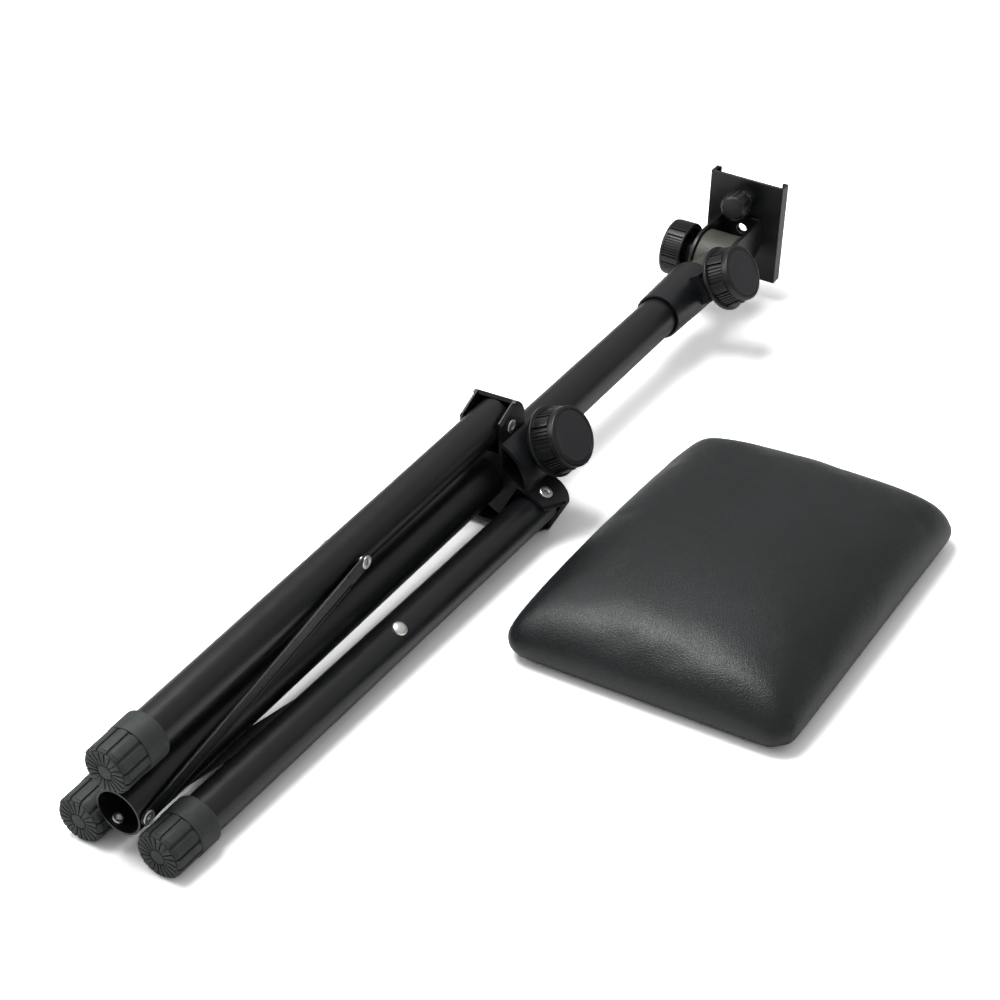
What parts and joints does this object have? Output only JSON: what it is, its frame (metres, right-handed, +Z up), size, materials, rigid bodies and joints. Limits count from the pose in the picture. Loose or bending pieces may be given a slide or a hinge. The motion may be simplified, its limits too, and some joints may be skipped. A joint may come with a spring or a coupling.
{
  "type": "folding tripod arm rest stand",
  "caption": "Folded tripod stand with clamped telescopic pole and tilting channel-plate head, lying on its side beside its crowned leatherette arm pad.",
  "frame": {"origin": "On the floor, in the middle of the whole object's footprint: stand and pad together.", "axes": "+X runs along the folded stand's pole from the feet to the head, +Z is up from the floor, +Y points from the pad towards the stand."},
  "size_m": [0.7126, 0.3113, 0.0967],
  "materials": {
    "black_steel": "satin black powder coat",
    "black_nylon": "fine satin moulded nylon",
    "knob_inlay": "smooth satin moulded cap",
    "white_nylon": "plain natural nylon",
    "drum_plastic": "matte grey-green moulded plastic",
    "foot_rubber": "matte dark grey rubber",
    "zinc": "bright zinc plating",
    "leatherette": "black pebble-grain leatherette",
    "plywood": "plain birch plywood"
  },
  "bodies": {
    "hub": {"hub": "black_nylon", "hub_rivets": "zinc", "hub_clamp_nut": "zinc"},
    "hub_handle": {"hub_knob": "black_nylon", "hub_knob_cap": "knob_inlay", "hub_clamp_screw": "zinc"},
    "pole": {"column_tube": "black_steel", "column_collar": "black_nylon", "column_rivets": "zinc", "collar_clamp_nut": "zinc"},
    "collar_handle": {"collar_knob": "black_nylon", "collar_knob_cap": "knob_inlay", "collar_clamp_screw": "zinc"},
    "guide": {"guide_bush": "white_nylon"},
    "mast": {"inner_tube": "black_steel", "tilt_drum": "drum_plastic"},
    "head": {"yoke": "black_steel", "channel_plate": "black_steel", "tilt_bolt": "zinc", "lock_nut": "zinc"},
    "tilt_handle": {"tilt_knob": "black_nylon", "tilt_knob_cap": "knob_inlay", "tilt_nut": "zinc"},
    "lock_handle": {"lock_knob": "black_nylon", "lock_screw": "zinc"},
    "pad": {"pad_cushion": "leatherette", "pad_board": "plywood", "pad_bracket": "black_steel", "pad_screws": "zinc"},
    "leg_top": {"leg_top": "black_steel", "foot_top": "foot_rubber", "rivet_top": "zinc"},
    "brace_top": {"brace_top": "black_steel", "eyelet_top": "zinc"},
    "leg_right": {"leg_right": "black_steel", "foot_right": "foot_rubber", "rivet_right": "zinc"},
    "brace_right": {"brace_right": "black_steel", "eyelet_right": "zinc"},
    "leg_left": {"leg_left": "black_steel", "foot_left": "foot_rubber", "rivet_left": "zinc"},
    "brace_left": {"brace_left": "black_steel", "eyelet_left": "zinc"}
  },
  "joints": [
    {"name": "leg_top_fold", "type": "hinge", "parent": "hub", "child": "leg_top", "pos_m": [-0.00142, 0.10503, 0.07298], "axis": [0, 1, 0], "range_deg": [0, 51]},
    {"name": "brace_top_swing", "type": "hinge", "parent": "leg_top", "child": "brace_top", "pos_m": [-0.15529, 0.10503, 0.06663], "axis": [0, 1, 0], "range_deg": [-93.6, 0]},
    {"name": "leg_right_fold", "type": "hinge", "parent": "hub", "child": "leg_right", "pos_m": [-0.00012, 0.07429, 0.01974], "axis": [-0.0211, -0.5, 0.8658], "range_deg": [0, 51]},
    {"name": "brace_right_swing", "type": "hinge", "parent": "leg_right", "child": "brace_right", "pos_m": [-0.15409, 0.07654, 0.0173], "axis": [-0.0211, -0.5, 0.8658], "range_deg": [-93.6, 0]},
    {"name": "leg_left_fold", "type": "hinge", "parent": "hub", "child": "leg_left", "pos_m": [-0.00012, 0.13577, 0.01974], "axis": [0.0211, -0.5, -0.8658], "range_deg": [0, 51]},
    {"name": "brace_left_swing", "type": "hinge", "parent": "leg_left", "child": "brace_left", "pos_m": [-0.15409, 0.13352, 0.0173], "axis": [0.0211, -0.5, -0.8658], "range_deg": [-93.6, 0]},
    {"name": "pole_slide", "type": "slide", "parent": "hub", "child": "pole", "axis": [0.9997, 0, 0.0243], "range_m": [0, 0.1279]},
    {"name": "hub_knob_turn", "type": "hinge", "parent": "hub", "child": "hub_handle", "pos_m": [0.02002, 0.07506, 0.05529], "axis": [-0.0122, -0.866, 0.4999], "range_deg": [0, 270]},
    {"name": "collar_knob_turn", "type": "hinge", "parent": "pole", "child": "collar_handle", "pos_m": [0.25899, 0.07818, 0.05931], "axis": [-0.0122, -0.866, 0.4999], "range_deg": [0, 270]},
    {"name": "mast_slide", "type": "slide", "parent": "pole", "child": "guide", "axis": [0.9997, 0, 0.0243], "range_m": [0, 0.3]},
    {"name": "mast_swivel", "type": "hinge", "parent": "guide", "child": "mast", "pos_m": [0.27236, 0.10503, 0.04413], "axis": [0.9997, 0, 0.0243], "range_deg": [-180, 180]},
    {"name": "head_tilt", "type": "hinge", "parent": "mast", "child": "head", "pos_m": [0.31035, 0.10503, 0.04505], "axis": [-0.0013, 0.9986, 0.0523], "range_deg": [-50, 85]},
    {"name": "tilt_knob_turn", "type": "hinge", "parent": "head", "child": "tilt_handle", "pos_m": [0.31032, 0.1284, 0.04627], "axis": [-0.0013, 0.9986, 0.0523], "range_deg": [0, 270]},
    {"name": "lock_knob_turn", "type": "hinge", "parent": "head", "child": "lock_handle", "pos_m": [0.33703, 0.10427, 0.07932], "axis": [-0.9997, 0, -0.0243], "range_deg": [0, 270]},
    {"name": "pad_lift", "type": "slide", "parent": "hub", "child": "pad", "axis": [0, 0, 1], "range_m": [0, 0.1]}
  ],
  "couplings": [
    {"joint": "brace_top_swing", "follows": "leg_top_fold", "ratio": -1.829},
    {"joint": "leg_right_fold", "follows": "leg_top_fold", "ratio": 1},
    {"joint": "brace_right_swing", "follows": "leg_top_fold", "ratio": -1.829},
    {"joint": "leg_left_fold", "follows": "leg_top_fold", "ratio": 1},
    {"joint": "brace_left_swing", "follows": "leg_top_fold", "ratio": -1.829},
    {"joint": "pole_slide", "follows": "leg_top_fold", "m_per_rad": 0.14283}
  ]
}
